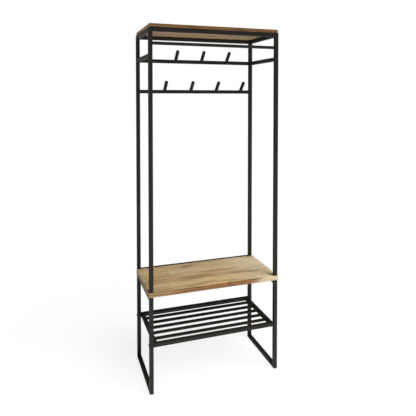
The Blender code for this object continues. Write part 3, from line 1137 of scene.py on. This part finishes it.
class HALLTREE_OT_welds(bpy.types.Operator):
    """Builds one straight bead and one ring bead, and runs their copies round the joints"""

    bl_idname = "hall_tree.welds"
    bl_label = "Weld beads"

    def execute(self, context):
        self.rail_welds()
        self.bar_welds("rack_bar_welds", nodes_named("rack_bar_"))
        self.bar_welds("hanging_bar_welds", ["hanging_bar"])
        self.peg_welds()
        return {"FINISHED"}

    def rail_welds(self):
        """A bead across each open face at both ends of every rail."""
        bead = straight_bead()
        across = Matrix.Rotation(QUARTER_TURN, 4, "Z")
        draw = random.Random(5)
        groups = {
            "top_frame_welds": TOP_RAILS,
            "hook_rail_welds": HOOK_RAILS,
            "bench_rail_welds": BENCH_RAILS,
            "rack_frame_welds": ["rack_rail_left", "rack_rail_right"],
        }
        for name, nodes in groups.items():
            beads = []
            for node in nodes:
                low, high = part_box(node)
                along = X_AXIS if high.x - low.x > high.y - low.y else Y_AXIS
                under_a_board = node.startswith(("top_rail", "bench_side_rail"))
                levels = [low.z] if under_a_board else [low.z, high.z]
                for end in (low[along] - JOINT_GAP, high[along] + JOINT_GAP):
                    for level in levels:
                        place = (low + high) / 2
                        place.z = level
                        place[along] = end
                        place[1 - along] += draw.uniform(-WELD_STRAY, WELD_STRAY)
                        matrix = Matrix.Translation(place)
                        if along == X_AXIS:
                            matrix = matrix @ across
                        beads.append(copy_of(bead, matrix))
            finish_piece(join(beads), name, powder_coat(), "frame_steel", angle=60.0)
        remove(bead)

    def bar_welds(self, name, nodes):
        """A ring at both ends of every round bar."""
        low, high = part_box(nodes[0])
        ring = ring_bead((high.z - low.z) / 2)
        rings = []
        for node in nodes:
            low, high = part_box(node)
            place = (low + high) / 2
            for x in (low.x - JOINT_GAP, high.x + JOINT_GAP):
                place.x = x
                rings.append(copy_of(ring, Matrix.Translation(place)))
        finish_piece(join(rings), name, powder_coat(), "frame_steel", angle=60.0)
        remove(ring)

    def peg_welds(self):
        """Two crescents beside each peg's slanting root, which stop short of the rail's corners."""
        low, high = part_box("lower_peg_1")
        ring = ring_bead((high.x - low.x) / 2)
        ring.rotation_euler = (0.0, 0.0, QUARTER_TURN)
        ring.scale = (1.0, 1.0, 1.0 / math.cos(PEG_LEAN))
        settle(ring)
        reach = TUBE / 2 - bpy.context.scene.hall_tree_steel.corner
        bisect_away(ring, (0.0, 0.0, reach), (0.0, 0.0, 1.0))
        bisect_away(ring, (0.0, 0.0, -reach), (0.0, 0.0, -1.0))
        rings = []
        for row in ("lower", "upper"):
            level = middle_of(row + "_hook_rail").z
            for node in nodes_named(row + "_peg"):
                place = Matrix.Translation((middle_of(node).x, REAR_POST_FACE, level))
                rings.append(copy_of(ring, place))
        finish_piece(join(rings), "peg_welds", powder_coat(), "pegs", angle=60.0)
        remove(ring)


# Stage


class HALLTREE_OT_stage(bpy.types.Operator):
    """Builds the pale studio floor, the soft lights and the camera"""

    bl_idname = "hall_tree.stage"
    bl_label = "Floor, lights and camera"

    def execute(self, context):
        scene = context.scene
        settings = scene.hall_tree_stage
        deselect()
        bpy.ops.mesh.primitive_plane_add(size=80.0, location=(0.0, 0.0, 0.0))
        floor = context.object
        floor.name = "studio_floor"
        floor.data.materials.append(self.floor_paint(tuple(settings.floor)))
        self.world(scene, settings.walls)
        aim = Vector((-1.0, 1.6, -2.6)).to_track_quat("-Z", "Y").to_euler()
        bpy.ops.object.light_add(type="SUN", location=(2.0, -3.2, 5.2), rotation=aim)
        sun = context.object
        sun.name = "main_light"
        sun.data.angle = math.radians(40)
        sun.data.energy = settings.key
        # It lights the wood, and the satin steel reflects only the floor and the walls.
        sun.visible_glossy = False
        self.camera(scene)
        scene.view_settings.view_transform = "Standard"
        return {"FINISHED"}

    def floor_paint(self, tone):
        """Matt white floor paint. Behind the frame's front the steel reflects a darker floor, as it
        does with black cloth laid out of sight, so that its side faces stay dark."""
        material, tree, shader, place = new_material("Matt white studio floor")
        axes = add_node(tree, "ShaderNodeSeparateXYZ", {"Vector": place})
        cloth = add_node(
            tree,
            "ShaderNodeMapRange",
            {
                "Value": axes.outputs["Y"],
                "From Min": FRAME_FRONT - 0.1,
                "From Max": FRAME_FRONT + 0.5,
                "To Min": 0.95,
                "To Max": 0.34,
            },
            interpolation_type="SMOOTHSTEP",
        ).outputs["Result"]
        seen = add_node(tree, "ShaderNodeLightPath").outputs["Is Camera Ray"]
        bounced = add_node(
            tree, "ShaderNodeVectorMath", {0: tone, "Scale": cloth}, operation="SCALE"
        ).outputs["Vector"]
        shadowed = (*shade_of(tone, 0.13), 1.0)
        paint = add_node(
            tree, "ShaderNodeMix", {"Factor": seen, "A": bounced, "B": shadowed}, data_type="RGBA"
        ).outputs["Result"]
        lift = add_node(tree, "ShaderNodeMath", {0: seen, 1: 0.85}, operation="MULTIPLY").outputs["Value"]
        tree.links.new(paint, shader.inputs["Base Color"])
        tree.links.new(lift, shader.inputs["Emission Strength"])
        shader.inputs["Emission Color"].default_value = WHITE
        shader.inputs["Roughness"].default_value = 0.9
        shader.inputs["Specular IOR Level"].default_value = 0.0
        return material

    def world(self, scene, walls):
        """Dim walls round the horizon under a dark ceiling, as the steel reflects them, in front of
        a plain white backdrop."""
        world = scene.world or bpy.data.worlds.new("Studio")
        scene.world = world
        world.use_nodes = True
        tree = world.node_tree
        tree.nodes.clear()
        direction = add_node(tree, "ShaderNodeTexCoord").outputs["Generated"]
        height = add_node(tree, "ShaderNodeSeparateXYZ", {"Vector": direction}).outputs["Z"]
        wall = add_node(
            tree,
            "ShaderNodeMapRange",
            {"Value": height, "From Min": 0.30, "From Max": 0.50, "To Min": walls, "To Max": 0.05},
            interpolation_type="SMOOTHSTEP",
        ).outputs["Result"]
        seen = add_node(tree, "ShaderNodeLightPath").outputs["Is Camera Ray"]
        glow = add_node(
            tree, "ShaderNodeMix", {"Factor": seen, "A": wall, "B": 1.0}, data_type="FLOAT"
        ).outputs["Result"]
        background = add_node(tree, "ShaderNodeBackground", {"Color": WHITE, "Strength": glow})
        add_node(tree, "ShaderNodeOutputWorld", {"Surface": background.outputs["Background"]})

    def camera(self, scene):
        bpy.ops.object.camera_add(
            location=(-0.7970, -2.3695, 1.4695),
            rotation=(math.radians(90.0 - 1.793), 0.0, math.radians(-18.888)),
        )
        camera = bpy.context.object
        camera.name = "camera"
        camera.data.sensor_width = 36.0
        camera.data.lens = 39.64
        camera.data.shift_y = -0.2309
        scene.camera = camera


SETTINGS = (
    ("hall_tree_steel", SteelSettings),
    ("hall_tree_boards", BoardSettings),
    ("hall_tree_stage", StageSettings),
)
OPERATORS = (
    HALLTREE_OT_posts,
    HALLTREE_OT_runners,
    HALLTREE_OT_top_frame,
    HALLTREE_OT_hook_rails,
    HALLTREE_OT_bench_rails,
    HALLTREE_OT_rack_frame,
    HALLTREE_OT_round_bars,
    HALLTREE_OT_pegs,
    HALLTREE_OT_bench_board,
    HALLTREE_OT_top_board,
    HALLTREE_OT_rack_bolts,
    HALLTREE_OT_lock_screws,
    HALLTREE_OT_board_screws,
    HALLTREE_OT_inner_fittings,
    HALLTREE_OT_welds,
    HALLTREE_OT_stage,
)


class HALLTREE_PT_panel(bpy.types.Panel):
    """The sizes, the colours and one button for each piece"""

    bl_idname = "HALLTREE_PT_panel"
    bl_label = "Hall Tree"
    bl_space_type = "VIEW_3D"
    bl_region_type = "UI"
    bl_category = "Hall Tree"

    def draw(self, context):
        layout = self.layout
        for name, kind in SETTINGS:
            box = layout.box()
            box.label(text=kind.__doc__)
            for key in kind.__annotations__:
                box.prop(getattr(context.scene, name), key)
        for operator in OPERATORS:
            layout.operator(operator.bl_idname)


CLASSES = (SteelSettings, BoardSettings, StageSettings, *OPERATORS, HALLTREE_PT_panel)


def register():
    for cls in CLASSES:
        bpy.utils.register_class(cls)
    for name, kind in SETTINGS:
        setattr(bpy.types.Scene, name, bpy.props.PointerProperty(type=kind))


def unregister():
    for name, _ in SETTINGS:
        delattr(bpy.types.Scene, name)
    for cls in reversed(CLASSES):
        bpy.utils.unregister_class(cls)


def main():
    register()
    for operator in OPERATORS:
        group, name = operator.bl_idname.split(".")
        getattr(getattr(bpy.ops, group), name)()
    deselect()


if __name__ == "__main__":
    main()
